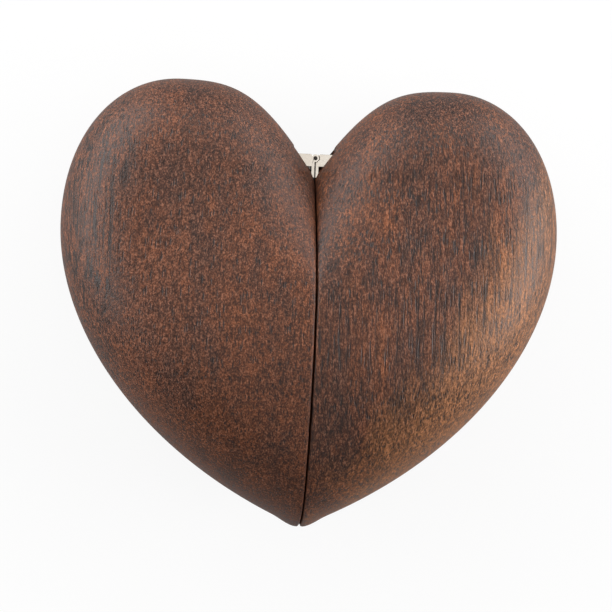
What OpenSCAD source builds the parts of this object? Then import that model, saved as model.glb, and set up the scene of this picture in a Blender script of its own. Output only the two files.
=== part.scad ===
// Heart-shaped wooden keepsake box in two hinged halves, with a wind-up comb movement.
// The heart lies on its flat back: +Z is the front, the tip points to -Y, the halves part at x = 0.

/* [Wooden heart] */
// Width over both lobes
heart_w = 104; // [100:1:108]
// Length from the tip to the lobe tops
heart_l = 92.8; // [90:0.2:95]
// Height of the widest line above the flat back
mid_z = 19.8; // [19:0.1:20.5]
// Height of the front dome above the widest line
dome_h = 24.2; // [23.5:0.1:26]
// Distance over which the back's edge rounds over
edge_d = 14; // [13:0.5:15]
// Gap between the two halves
split_gap = 0.3; // [0.2:0.05:0.5]

/* [Hinge] */
// Height of the pivot above the middle of the heart's length
pivot_y = 31.2; // [31:0.1:31.4]
// Width of one leaf
leaf_w = 4.4; // [4:0.1:4.6]
// Length of the hinge along its pin
hinge_len = 8; // [7.6:0.1:9]
// Radius of the knuckles
knuckle_r = 0.8; // [0.7:0.05:0.85]

/* [Movement] */
// Centre of the spring barrel across the heart
barrel_x = -22.2; // [-22.4:0.1:-22]
// Centre of the spring barrel along the heart
barrel_y = 5.8; // [5.6:0.1:6]
// Radius of the spring barrel
barrel_r = 8.9; // [8.8:0.05:8.95]
// Radius of the pinned cylinder
cylinder_r = 5.5; // [5.3:0.1:5.5]
// Number of notes on the comb
notes = 18; // [12:1:18]
// Teeth of the barrel's contrate wheel
crown_teeth = 54; // [54:1:54]
// Teeth of the cylinder's pinion
pinion_teeth = 20; // [20:1:20]
// Teeth of the cylinder's end gear
gear_teeth = 36; // [36:1:36]
// Leaves of the governor pinion
leaf_teeth = 8; // [8:1:8]
// Teeth of the worm wheel
worm_teeth = 30; // [30:1:30]

/* [Winding] */
// Radius of the well for the key in the back
well_r = 13; // [12.5:0.1:13.2]
// Depth of the well
well_depth = 9; // [8.6:0.1:9]
// Width of the key over its wings
key_w = 20; // [18:1:22]

/* [Hidden] */
$fn = 48;

walnut = "#5f3e2d";
nickel = "#d8d0c4";
brass = "#c9a35a";
steel = "#b9bcc0";
blued = "#3d4552";
zinc = "#a9abad";
velvet = "#6d1f2b";
clear = "#dfe9ee66";

half_gap = split_gap / 2;
half_w = heart_w / 2 - half_gap;
tip_y = -heart_l / 2;
top_y = heart_l / 2;
eps = 0.01;

// Outline of one half, from the tip round the side and the lobe to the notch.
tip_angle = 22.5;
tip_pull = 34.5;
widest_y = tip_y + 62;
side_pull_down = 23.5;
side_pull_up = 18.3;
lobe_x = 28;
lobe_pull_out = 13.5;
lobe_pull_in = 10.3;
notch_y = tip_y + 74.4;
notch_angle = 56;
notch_pull = 21;

function bezier(p, t) =
  pow(1 - t, 3) * p[0] + 3 * pow(1 - t, 2) * t * p[1]
  + 3 * (1 - t) * t * t * p[2] + pow(t, 3) * p[3];
function toward(angle, length) = length * [cos(angle), sin(angle)];

side_curve = [
  [0, tip_y],
  [0, tip_y] + toward(tip_angle, tip_pull),
  [half_w, widest_y - side_pull_down],
  [half_w, widest_y]
];
shoulder_curve = [
  [half_w, widest_y],
  [half_w, widest_y + side_pull_up],
  [lobe_x + lobe_pull_out, top_y],
  [lobe_x, top_y]
];
notch_curve = [
  [lobe_x, top_y],
  [lobe_x - lobe_pull_in, top_y],
  [0, notch_y] + toward(notch_angle, notch_pull),
  [0, notch_y]
];
side_n = 26;
shoulder_n = 16;
notch_n = 16;
outline = concat(
  [for (i = [0 : side_n - 1]) bezier(side_curve, i / side_n)],
  [for (i = [0 : shoulder_n - 1]) bezier(shoulder_curve, i / shoulder_n)],
  [for (i = [0 : notch_n]) bezier(notch_curve, i / notch_n)]
);
outline_n = len(outline);

// Distance from a point to the outline, and the height of the surface there.
function segment_distance(p, a, b) =
  let (ab = b - a, t = max(0, min(1, ((p - a) * ab) / (ab * ab))))
  norm(p - a - t * ab);
function edge_distance(p) =
  min([for (i = [0 : outline_n - 2]) segment_distance(p, outline[i], outline[i + 1])]);
// Below the notch the lobes also round over towards the seam, in a valley that fades out.
valley_depth = 0.61;
valley_reach = 28.5;
function valley_distance(p) =
  let (below = notch_y - p[1])
  below < 0 ? heart_w : p[0] + below * (1 - valley_depth * exp(-pow(below / valley_reach, 2)));
// The two distances blend where they are alike.
blend_power = 4;
function blended(a, b) = pow(pow(max(a, eps), -blend_power) + pow(max(b, eps), -blend_power), -1 / blend_power);
function round_distance(p) = blended(edge_distance(p), valley_distance(p));
function rise(share, power) = sqrt(1 - pow(1 - min(1, share), power));
// The front rounds over further in than the back and swells towards a crown on the seam.
// The back is flat inside its rounded edge.
front_edge_d = 1.5 * edge_d;
front_power = 3;
back_power = 2;
crown_y = -6;
crown_reach = [46, 32];
flat_share = 0.58;
function swell(p) =
  flat_share + (1 - flat_share) * exp(-pow(p[0] / crown_reach[0], 2) - pow((p[1] - crown_y) / crown_reach[1], 2));

// One half of the heart as rings that shrink towards a centre point on the split face.
rings = [1, 0.995, 0.98, 0.955, 0.92, 0.87, 0.81, 0.73, 0.62, 0.48, 0.32, 0.15];
ring_n = len(rings);
centre = [0, -2];
ring_xy = [for (s = rings) [for (p = outline) centre + s * (p - centre)]];
distances = [for (ring = ring_xy) [for (p = ring) round_distance(p)]];
function surface_z(side, p, d) =
  side > 0
  ? mid_z + dome_h * rise(d / front_edge_d, front_power) * swell(p)
  : mid_z - mid_z * rise(d / edge_d, back_power);
sheet_n = ring_n * outline_n + 1;
function sheet(side) = concat(
  [for (k = [0 : ring_n - 1]) for (i = [0 : outline_n - 1])
    let (p = ring_xy[k][i])
    [p[0] + half_gap, p[1], surface_z(side, p, k == 0 ? 0 : distances[k][i])]],
  [[centre[0] + half_gap, centre[1], surface_z(side, centre, round_distance(centre))]]
);
// The rim points are shared by both sheets.
function at(side, k, i) = (side > 0 || k == 0) ? k * outline_n + i : sheet_n + k * outline_n + i;
function hub(side) = side > 0 ? sheet_n - 1 : 2 * sheet_n - 1;
function turn(side, f) = side > 0 ? [f[2], f[1], f[0]] : f;
function sheet_faces(side) = concat(
  [for (k = [0 : ring_n - 2]) for (i = [0 : outline_n - 2]) each [
    turn(side, [at(side, k, i), at(side, k, i + 1), at(side, k + 1, i + 1)]),
    turn(side, [at(side, k, i), at(side, k + 1, i + 1), at(side, k + 1, i)])
  ]],
  [for (i = [0 : outline_n - 2])
    turn(side, [at(side, ring_n - 1, i), at(side, ring_n - 1, i + 1), hub(side)])]
);
// The flat split face, as strips between the front and the back sheet.
last = outline_n - 1;
split_faces = concat(
  [[at(1, 0, 0), at(-1, 1, 0), at(1, 1, 0)], [at(1, 0, last), at(1, 1, last), at(-1, 1, last)]],
  [for (k = [1 : ring_n - 2]) each [
    [at(1, k, 0), at(-1, k + 1, 0), at(1, k + 1, 0)],
    [at(1, k, 0), at(-1, k, 0), at(-1, k + 1, 0)],
    [at(1, k, last), at(1, k + 1, last), at(-1, k + 1, last)],
    [at(1, k, last), at(-1, k + 1, last), at(-1, k, last)]
  ]],
  [
    [at(1, ring_n - 1, 0), hub(-1), hub(1)],
    [at(1, ring_n - 1, 0), at(-1, ring_n - 1, 0), hub(-1)],
    [at(1, ring_n - 1, last), hub(1), hub(-1)],
    [at(1, ring_n - 1, last), hub(-1), at(-1, ring_n - 1, last)]
  ]
);

// Shared shapes.
module slab(x0, x1, y0, y1, z0, z1) {
  translate([x0, y0, z0]) cube([x1 - x0, y1 - y0, z1 - z0]);
}
module rod_z(x, y, z0, z1, r) {
  translate([x, y, z0]) cylinder(h = z1 - z0, r = r);
}
module rod_y(x, z, y0, y1, r) {
  translate([x, y0, z]) rotate([-90, 0, 0]) cylinder(h = y1 - y0, r = r);
}
module rod_x(y, z, x0, x1, r) {
  translate([x0, y, z]) rotate([0, 90, 0]) cylinder(h = x1 - x0, r = r);
}
// A block along X whose cross-section in Y and Z has round corners.
module round_block(x0, x1, y0, y1, z0, z1, r) {
  slab(x0, x1, y0 + r, y1 - r, z0, z1);
  slab(x0, x1, y0, y1, z0 + r, z1 - r);
  for (y = [y0 + r, y1 - r]) for (z = [z0 + r, z1 - r]) rod_x(y, z, x0, x1, r);
}
// A wheel with thin straight teeth, with one tooth at the angle phase.
module toothed_2d(n, root_r, tip_r, tooth_w, phase) {
  circle(r = root_r);
  for (i = [0 : n - 1])
    rotate(phase + i * 360 / n) translate([root_r - 0.2, -tooth_w / 2]) square([tip_r - root_r + 0.2, tooth_w]);
}
// The same wheel on an axis along Y; an angle in its plane runs from +X towards -Z.
module wheel_y(x, z, y0, y1) {
  translate([x, y0, z]) rotate([-90, 0, 0]) linear_extrude(y1 - y0) children();
}

// The wooden shells.
module half_heart() {
  polyhedron(points = concat(sheet(1), sheet(-1)), faces = concat(sheet_faces(1), sheet_faces(-1), split_faces));
}

leaf_bottom = pivot_y - 1.7;
leaf_top = pivot_y + 0.85;
hinge_z0 = mid_z - hinge_len / 2;
hinge_z1 = mid_z + hinge_len / 2;
mortise_gap = 0.1;
flange_t = 0.6;
flange_drop = 2.3;
module mortise() {
  slab(-eps, leaf_w + mortise_gap, leaf_bottom - mortise_gap, top_y + 1, hinge_z0 - mortise_gap, hinge_z1 + mortise_gap);
  slab(-eps, half_gap + flange_t + mortise_gap, leaf_bottom - flange_drop - mortise_gap, leaf_bottom,
    hinge_z0 - mortise_gap, hinge_z1 + mortise_gap);
}
screw_z = [mid_z - 2.2, mid_z + 2.2];
leaf_screw_x = 2.7;
leaf_screw_r = 0.55;
leaf_screw_len = 6;
module leaf_screw_holes() {
  for (z = screw_z) rod_y(leaf_screw_x, z, leaf_top - leaf_screw_len, leaf_bottom, leaf_screw_r);
}

magnet_y = -36.5;
magnet_r = 2.5;
magnet_t = 2;
magnet_face = half_gap + 0.1;
module magnet_hole() {
  rod_x(magnet_y, mid_z, -eps, magnet_face + magnet_t, magnet_r);
}

// Spaces milled into the left half for the movement, from the split face inwards.
cavity_z0 = 11;
cavity_z1 = 33.5;
deep_z1 = 31.3;
cavity_r = 2.5;
cavity_y0 = -29;
cavity_y1 = 16;
near_x = -21;
bay_x = -24.8;
bay_y = -24.5;
bay_z1 = 28;
deep_r = 0.5;
middle_x = -28.4;
middle_y = -23.4;
far_x = -35;
far_y = -6;
rebate_y0 = -31;
rebate_y1 = 18;
rebate_z0 = 10;
rebate_z1 = 34.5;
rebate_r = 4.5;
window_back = -2.6;
window_front = -1.1;
module movement_cavity() {
  round_block(near_x, eps, cavity_y0, cavity_y1, cavity_z0, cavity_z1, cavity_r);
  round_block(bay_x, eps, bay_y, 0, cavity_z0, bay_z1, deep_r);
  round_block(middle_x, eps, middle_y, cavity_y1 - cavity_r, cavity_z0, deep_z1, deep_r);
  round_block(far_x, eps, far_y, cavity_y1 - cavity_r, cavity_z0, deep_z1, deep_r);
  round_block(far_x, eps, far_y, cavity_y1, cavity_z0, deep_z1, cavity_r);
  round_block(window_back, eps, rebate_y0, rebate_y1, rebate_z0, rebate_z1, rebate_r);
}
window_screw_at = [for (y = [-30, 17.05]) for (z = [16.5, 28]) [y, z]];
arbor_r = 1.2;
run = 0.05;
web_bore_r = arbor_r + 0.4;
movement_screw_at = [[-8, -14], [-24, -16], [-13, 12]];
movement_screw_r = 0.95;
movement_head_r = 2;
head_sink = 2.2;
module left_shell() {
  color(walnut) difference() {
    mirror([1, 0, 0]) half_heart();
    mirror([1, 0, 0]) {
      mortise();
      leaf_screw_holes();
      magnet_hole();
    }
    movement_cavity();
    rod_z(barrel_x, barrel_y, -1, well_depth, well_r);
    rod_z(barrel_x, barrel_y, well_depth - 1, cavity_z0 + 1, web_bore_r);
    for (p = movement_screw_at) {
      rod_z(p[0], p[1], -1, head_sink, movement_head_r + 0.2);
      rod_z(p[0], p[1], 0, cavity_z0 + 1, movement_screw_r);
    }
    for (p = window_screw_at) rod_x(p[0], p[1], window_back - 3.5, window_back + 0.5, 0.45);
  }
}

// The pocket in the right half, with its lining and the two rolls of the ring cushion.
pocket_y0 = -27;
pocket_y1 = 16;
pocket_z0 = 10;
pocket_z1 = 33;
pocket_r = 1.6;
pocket_depth = 22;
module right_shell() {
  color(walnut) difference() {
    half_heart();
    mortise();
    leaf_screw_holes();
    magnet_hole();
    round_block(-eps, pocket_depth, pocket_y0, pocket_y1, pocket_z0, pocket_z1, pocket_r);
  }
}
lining_gap = 0.05;
lining_t = 0.9;
lining_lip = 0.6;
module pocket_lining() {
  inner = lining_gap + lining_t;
  color(velvet) difference() {
    round_block(lining_lip, pocket_depth - lining_gap, pocket_y0 + lining_gap, pocket_y1 - lining_gap,
      pocket_z0 + lining_gap, pocket_z1 - lining_gap, pocket_r - lining_gap);
    round_block(0, pocket_depth - inner, pocket_y0 + inner, pocket_y1 - inner,
      pocket_z0 + inner, pocket_z1 - inner, pocket_r - inner);
  }
}
roll_r = 5;
roll_y0 = -25.6;
roll_y1 = 14.6;
roll_slot = 0.4;
roll_front_x = 8.5;
roll_back_x = pocket_depth - lining_gap - lining_t - 0.1;
pocket_mid_z = (pocket_z0 + pocket_z1) / 2;
module cushion_roll(side) {
  z = pocket_mid_z + side * (roll_r + roll_slot / 2);
  color(velvet) {
    rod_y(roll_front_x + roll_r, z, roll_y0, roll_y1, roll_r);
    slab(roll_front_x + roll_r, roll_back_x, roll_y0, roll_y1, z - roll_r, z + roll_r);
  }
}
module cushion_front() {
  cushion_roll(1);
}
module cushion_back() {
  cushion_roll(-1);
}

// The hinge: two leaves with interleaved knuckles on one pin.
knuckles = 5;
knuckle_gap = 0.2;
knuckle_len = hinge_len / knuckles;
pin_r = 0.4;
relief_r = knuckle_r + 0.1;
corner_x = 0.9;
module leaf_profile() {
  polygon([
    [half_gap, leaf_bottom - flange_drop],
    [half_gap, pivot_y - 0.2],
    [corner_x, leaf_top],
    [leaf_w, leaf_top],
    [leaf_w, leaf_bottom],
    [half_gap + flange_t, leaf_bottom],
    [half_gap + flange_t, leaf_bottom - flange_drop]
  ]);
}
function own(i, first) = (i % 2 == 0) == first;
module hinge_leaf(first) {
  bore_r = first ? pin_r : pin_r + run;
  difference() {
    union() {
      translate([0, 0, hinge_z0]) linear_extrude(hinge_len) leaf_profile();
      for (i = [0 : knuckles - 1]) if (own(i, first)) {
        z0 = hinge_z0 + i * knuckle_len + (i == 0 ? 0 : knuckle_gap / 2);
        z1 = hinge_z0 + (i + 1) * knuckle_len - (i == knuckles - 1 ? 0 : knuckle_gap / 2);
        rod_z(0, pivot_y, z0, z1, knuckle_r);
        slab(0, corner_x, pivot_y - knuckle_r, pivot_y + 0.1, z0, z1);
      }
    }
    for (i = [0 : knuckles - 1]) if (!own(i, first))
      rod_z(0, pivot_y, hinge_z0 + i * knuckle_len - knuckle_gap / 2,
        hinge_z0 + (i + 1) * knuckle_len + knuckle_gap / 2, relief_r);
    rod_z(0, pivot_y, hinge_z0 - 1, hinge_z1 + 1, bore_r);
    for (z = screw_z) {
      rod_y(leaf_screw_x, z, leaf_bottom - 1, leaf_top + 1, leaf_screw_r + run);
      leaf_countersink(z, 0);
    }
  }
}
countersink_r = 1.1;
countersink_h = 0.7;
module leaf_countersink(z, inset) {
  translate([leaf_screw_x, leaf_top + eps, z]) rotate([90, 0, 0])
    cylinder(h = countersink_h, r1 = countersink_r - inset, r2 = leaf_screw_r + run - inset);
}
module hinge_leaf_left() {
  color(nickel) mirror([1, 0, 0]) hinge_leaf(true);
}
module hinge_leaf_right() {
  color(nickel) hinge_leaf(false);
}
module hinge_pin() {
  color(steel) rod_z(0, pivot_y, hinge_z0, hinge_z1, pin_r);
}
module leaf_screws() {
  for (z = screw_z) difference() {
    union() {
      rod_y(leaf_screw_x, z, leaf_top - leaf_screw_len, leaf_top - 0.5, leaf_screw_r);
      leaf_countersink(z, run + eps);
    }
    slab(leaf_screw_x - 1.5, leaf_screw_x + 1.5, leaf_top - 0.4, leaf_top + 1, z - 0.12, z + 0.12);
  }
}
module hinge_screws_left() {
  color(nickel) mirror([1, 0, 0]) leaf_screws();
}
module hinge_screws_right() {
  color(nickel) leaf_screws();
}
module magnet() {
  rod_x(magnet_y, mid_z, magnet_face, magnet_face + magnet_t, magnet_r);
}
module magnet_left() {
  color(nickel) mirror([1, 0, 0]) magnet();
}
module magnet_right() {
  color(nickel) magnet();
}

// The clear window over the movement, and the plunger that passes through it.
plunger_y = -24;
plunger_z = 29.8;
plunger_r = 0.8;
plunger_travel = 2;
collar_t = 0.7;
collar_r = 1.4;
window_fit = 0.1;
module window() {
  color(clear) difference() {
    round_block(window_back + eps, window_front, rebate_y0 + window_fit, rebate_y1 - window_fit,
      rebate_z0 + window_fit, rebate_z1 - window_fit, rebate_r - window_fit);
    rod_x(plunger_y, plunger_z, window_back - 1, 0, plunger_r + run);
    for (p = window_screw_at) rod_x(p[0], p[1], window_back - 1, 0, 0.5);
  }
}
module window_screws() {
  color(brass) for (p = window_screw_at) difference() {
    union() {
      rod_x(p[0], p[1], window_back - 3.4, window_front, 0.45);
      rod_x(p[0], p[1], window_front, window_front + 0.5, 0.85);
    }
    slab(window_front + 0.25, 0, p[0] - 1, p[0] + 1, p[1] - 0.1, p[1] + 0.1);
  }
}

// The cast bedplate with its raised rail for the comb.
plate_z1 = 14;
plate_gap = 0.6;
plate_x1 = -3;
comb_y0 = -21;
comb_y1 = -5.2;
comb_z0 = 24.75;
comb_t = 0.5;
heel_x0 = -8.6;
heel_x1 = -3.5;
heel_t = 1.2;
heel_screw_x = (heel_x0 + heel_x1) / 2;
comb_screw_y = [-19, -13.1, -7.2];
module bedplate() {
  color(zinc) difference() {
    union() {
      slab(near_x + plate_gap, plate_x1, -26.4, middle_y + plate_gap, cavity_z0, plate_z1);
      slab(bay_x + plate_gap, plate_x1, bay_y + plate_gap, far_y, cavity_z0, plate_z1);
      slab(middle_x + plate_gap, plate_x1, middle_y + plate_gap, far_y + plate_gap, cavity_z0, plate_z1);
      slab(far_x + plate_gap, plate_x1, far_y + plate_gap, 13.4, cavity_z0, plate_z1);
      slab(heel_x0, heel_x1, comb_y0, comb_y1, plate_z1 - eps, comb_z0);
    }
    rod_z(barrel_x, barrel_y, cavity_z0 - 1, plate_z1 + 1, arbor_r + run);
    for (p = movement_screw_at) rod_z(p[0], p[1], cavity_z0 - 1, plate_z1 - 0.5, movement_screw_r);
    for (y = comb_screw_y) rod_z(heel_screw_x, y, comb_z0 - 3.5, comb_z0 + 1, 0.6);
    for (p = governor_screw_at) rod_z(p[0], p[1], cavity_z0 + 0.5, plate_z1 + 1, 0.5);
  }
}
module movement_screws() {
  color(brass) for (p = movement_screw_at) difference() {
    union() {
      rod_z(p[0], p[1], head_sink - 1.3, head_sink, movement_head_r);
      rod_z(p[0], p[1], head_sink, plate_z1 - 0.6, movement_screw_r);
    }
    slab(p[0] - 3, p[0] + 3, p[1] - 0.25, p[1] + 0.25, 0, head_sink - 0.8);
  }
}

// The comb: one steel plate cut into teeth, with weights under the low notes.
tip_x = barrel_x + cylinder_r + 0.55;
note_pitch = (comb_y1 - comb_y0) / notes;
tooth_w = note_pitch * 0.76;
module comb() {
  color(steel) difference() {
    union() {
      slab(heel_x0, heel_x1, comb_y0, comb_y1, comb_z0, comb_z0 + heel_t);
      for (i = [0 : notes - 1]) {
        y = comb_y0 + (i + 0.5) * note_pitch;
        slab(tip_x, heel_x0 + 1, y - tooth_w / 2, y + tooth_w / 2, comb_z0, comb_z0 + comb_t);
        if (i < notes / 2)
          slab(tip_x + 1.2, tip_x + 1.2 + 3 - i * 0.28, y - tooth_w / 2, y + tooth_w / 2, comb_z0 - 1.1, comb_z0 + eps);
      }
    }
    for (y = comb_screw_y) rod_z(heel_screw_x, y, comb_z0 - 1, comb_z0 + heel_t + 1, 0.7);
  }
}
module comb_screws() {
  color(blued) for (y = comb_screw_y) difference() {
    union() {
      rod_z(heel_screw_x, y, comb_z0 - 3.4, comb_z0 + heel_t, 0.6);
      rod_z(heel_screw_x, y, comb_z0 + heel_t, comb_z0 + heel_t + 0.9, 1.3);
    }
    slab(heel_screw_x - 2, heel_screw_x + 2, y - 0.2, y + 0.2, comb_z0 + heel_t + 0.4, comb_z0 + 5);
  }
}

// The pinned cylinder on its arbor.
cylinder_z = 25;
tube_y0 = -21.2;
tube_y1 = -5;
tube_wall = 0.6;
shaft_r = 0.8;
module cylinder_tube() {
  color(brass) difference() {
    rod_y(barrel_x, cylinder_z, tube_y0, tube_y1, cylinder_r);
    rod_y(barrel_x, cylinder_z, tube_y0 + tube_wall, tube_y1 - tube_wall, cylinder_r - tube_wall);
    rod_y(barrel_x, cylinder_z, tube_y0 - 1, tube_y1 + 1, shaft_r);
  }
}
pins_per_note = 4;
note_pin_r = 0.14;
note_pin_h = 0.4;
golden_turn = 137.5;
module cylinder_pins() {
  color(brass) for (i = [0 : notes - 1]) for (k = [0 : pins_per_note - 1])
    translate([barrel_x, comb_y0 + (i + 0.5) * note_pitch, cylinder_z])
      rotate([0, i * golden_turn + k * 360 / pins_per_note + 20 * sin(i * 47 + k * 113), 0])
        translate([0, 0, cylinder_r - 0.3]) cylinder(h = note_pin_h + 0.3, r = note_pin_r, $fn = 16);
}
module cylinder_arbor() {
  color(steel) rod_y(barrel_x, cylinder_z, -24.1, -1.4, shaft_r);
}
pinion_pitch_r = 3;
crown_pitch_r = pinion_pitch_r * crown_teeth / pinion_teeth;
train_tooth_w = 0.3;
tooth_up = 0.25;
tooth_down = 0.4;
pinion_y = barrel_y - crown_pitch_r;
pinion_half_w = 0.6;
down = 90;
module cylinder_pinion() {
  color(brass) difference() {
    wheel_y(barrel_x, cylinder_z, pinion_y - pinion_half_w, pinion_y + pinion_half_w)
      toothed_2d(pinion_teeth, pinion_pitch_r - tooth_down, pinion_pitch_r + tooth_up, train_tooth_w, down);
    rod_y(barrel_x, cylinder_z, pinion_y - 2, pinion_y + 2, shaft_r);
  }
}
gear_pitch_r = 5.3;
gear_y0 = -22.5;
gear_y1 = -21.4;
leaf_pitch_r = gear_pitch_r * leaf_teeth / gear_teeth;
mesh_angle = 17;
module cylinder_gear() {
  color(brass) difference() {
    wheel_y(barrel_x, cylinder_z, gear_y0, gear_y1)
      toothed_2d(gear_teeth, gear_pitch_r - tooth_down, gear_pitch_r + tooth_up, train_tooth_w,
        mesh_angle + 180 / gear_teeth);
    rod_y(barrel_x, cylinder_z, gear_y0 - 1, gear_y1 + 1, shaft_r);
  }
}
bearing_at = [[-4.7, -3.5], [-24, -22.8]];
module cylinder_bearings() {
  color(zinc) for (span = bearing_at) difference() {
    union() {
      slab(barrel_x - 2, barrel_x + 1.3, span[0], span[1], plate_z1, cylinder_z);
      rod_y(barrel_x, cylinder_z, span[0], span[1], 1.5);
    }
    rod_y(barrel_x, cylinder_z, span[0] - 1, span[1] + 1, shaft_r + run);
  }
}

// The spring barrel, its contrate wheel and the mainspring.
drum_z0 = 14.8;
drum_z1 = 20.9;
drum_wall = 0.6;
crown_root_z = cylinder_z - pinion_pitch_r - tooth_down;
crown_tip_z = cylinder_z - pinion_pitch_r + tooth_up;
module spring_barrel() {
  color(brass) difference() {
    rod_z(barrel_x, barrel_y, drum_z0, drum_z1, barrel_r);
    rod_z(barrel_x, barrel_y, drum_z0 + drum_wall, drum_z1 + 1, barrel_r - drum_wall);
    rod_z(barrel_x, barrel_y, drum_z0 - 1, drum_z1 + 1, arbor_r + run);
  }
}
crown_in_r = 7.5;
crown_out_r = 8.7;
module barrel_gear() {
  color(brass) difference() {
    union() {
      rod_z(barrel_x, barrel_y, drum_z1, crown_root_z, barrel_r);
      translate([barrel_x, barrel_y, crown_root_z - 0.1]) linear_extrude(crown_tip_z - crown_root_z + 0.1)
        for (i = [0 : crown_teeth - 1])
          rotate(-90 + (i + 0.5) * 360 / crown_teeth)
            translate([crown_in_r, -train_tooth_w / 2]) square([crown_out_r - crown_in_r, train_tooth_w]);
    }
    rod_z(barrel_x, barrel_y, drum_z1 - 1, crown_tip_z + 1, arbor_r + run);
  }
}
spring_in_r = 2.2;
spring_out_r = 7.9;
spring_t = 0.25;
spring_turns = 6;
turn_steps = 16;
function spiral(r_shift) = [for (i = [0 : spring_turns * turn_steps])
  let (u = i / (spring_turns * turn_steps), r = spring_in_r + u * (spring_out_r - spring_in_r) + r_shift)
  r * [cos(i * 360 / turn_steps), sin(i * 360 / turn_steps)]];
function reversed(list) = [for (i = [len(list) - 1 : -1 : 0]) list[i]];
module mainspring() {
  color(blued) translate([barrel_x, barrel_y, drum_z0 + 1]) linear_extrude(drum_z1 - drum_z0 - 1.4)
    polygon(concat(spiral(0), reversed(spiral(spring_t))));
}
bridge_z0 = 24;
bridge_z1 = 25;
bridge_posts = [-33, -11.4];
post_r = 1.3;
module barrel_bridge() {
  color(zinc) difference() {
    union() {
      for (x = bridge_posts) {
        rod_z(x, barrel_y, plate_z1, bridge_z1, post_r);
      }
      slab(bridge_posts[0], bridge_posts[1], barrel_y - 1.3, barrel_y + 1.3, bridge_z0, bridge_z1);
      rod_z(barrel_x, barrel_y, bridge_z0, bridge_z1, 2.8);
    }
    rod_z(barrel_x, barrel_y, bridge_z0 - 1, bridge_z1 + 1, arbor_r + run);
    for (x = bridge_posts) rod_z(x, barrel_y, bridge_z1 - 3, bridge_z1 + 1, 0.5);
  }
}
module bridge_screws() {
  color(blued) for (x = bridge_posts) difference() {
    union() {
      rod_z(x, barrel_y, bridge_z1 - 2.9, bridge_z1, 0.5);
      rod_z(x, barrel_y, bridge_z1, bridge_z1 + 0.7, 1.1);
    }
    slab(x - 2, x + 2, barrel_y - 0.15, barrel_y + 0.15, bridge_z1 + 0.35, bridge_z1 + 2);
  }
}

// The winding arbor with its key, ratchet wheel and click.
key_z0 = 1;
key_z1 = 8;
wing_t = 2;
hub_r = 2.6;
module winding_arbor() {
  color(steel) rod_z(barrel_x, barrel_y, key_z0 + 2, bridge_z1, arbor_r);
}
wing_r = (key_z1 - key_z0) / 2;
module winding_key() {
  wing_mid_z = (key_z0 + key_z1) / 2;
  color(brass) difference() {
    union() {
      rod_z(barrel_x, barrel_y, key_z0, key_z1, hub_r);
      for (s = [-1, 1])
        rod_y(barrel_x + s * (key_w / 2 - wing_r), wing_mid_z, barrel_y - wing_t / 2, barrel_y + wing_t / 2, wing_r);
      slab(barrel_x - key_w / 2 + wing_r, barrel_x + key_w / 2 - wing_r,
        barrel_y - wing_t / 2, barrel_y + wing_t / 2, key_z0 + 1, key_z1 - 1);
    }
    rod_z(barrel_x, barrel_y, key_z0 + 2, key_z1 + 1, arbor_r);
    for (s = [-1, 1])
      rod_y(barrel_x + s * (key_w / 2 - wing_r), wing_mid_z, barrel_y - wing_t, barrel_y + wing_t, 1.5);
  }
}
ratchet_z0 = 22.6;
ratchet_z1 = 23.4;
ratchet_teeth = 12;
ratchet_root_r = 3.2;
ratchet_tip_r = 4;
click_x = -12.6;
click_y = -0.5;
click_length = norm([click_x - barrel_x, click_y - barrel_y]);
click_bearing = atan2(click_y - barrel_y, click_x - barrel_x);
catch_r = 3.45;
catch_angle = click_bearing + acos(catch_r / click_length);
catch_clear = 2;
module ratchet_wheel() {
  color(steel) difference() {
    translate([barrel_x, barrel_y, ratchet_z0]) linear_extrude(ratchet_z1 - ratchet_z0)
      polygon([for (i = [0 : ratchet_teeth - 1])
        let (a = catch_angle + catch_clear + i * 360 / ratchet_teeth)
        each [toward(a, ratchet_root_r), toward(a, ratchet_tip_r)]]);
    rod_z(barrel_x, barrel_y, ratchet_z0 - 1, ratchet_z1 + 1, arbor_r);
  }
}
stud_r = 0.6;
click_eye_r = 1.3;
click_tip = [barrel_x, barrel_y] + toward(catch_angle, catch_r);
click_heading = atan2(click_tip[1] - click_y, click_tip[0] - click_x);
click_reach = norm(click_tip - [click_x, click_y]);
module click() {
  color(steel) difference() {
    union() {
      rod_z(click_x, click_y, ratchet_z0, ratchet_z1, click_eye_r);
      translate([click_x, click_y, ratchet_z0]) rotate(click_heading) linear_extrude(ratchet_z1 - ratchet_z0)
        polygon([
          [0, -0.3], [click_reach - 3.2, -0.75], [click_reach, 0],
          [click_reach, -0.35], [click_reach - 1.4, -1.25], [0, -1.25]
        ]);
    }
    rod_z(click_x, click_y, ratchet_z0 - 1, ratchet_z1 + 1, stud_r + run);
  }
}
module click_stud() {
  color(steel) {
    rod_z(click_x, click_y, plate_z1, ratchet_z0 - 0.2, 0.9);
    rod_z(click_x, click_y, ratchet_z0 - 0.2, ratchet_z1 + 0.2, stud_r);
    rod_z(click_x, click_y, ratchet_z1 + 0.2, ratchet_z1 + 0.6, 1);
  }
}
module click_spring() {
  color(blued) for (k = [0 : 2])
    translate([click_x, click_y, plate_z1 + 5 + k * 0.6]) rotate_extrude() translate([1.2, 0]) circle(r = 0.22, $fn = 16);
}

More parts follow.
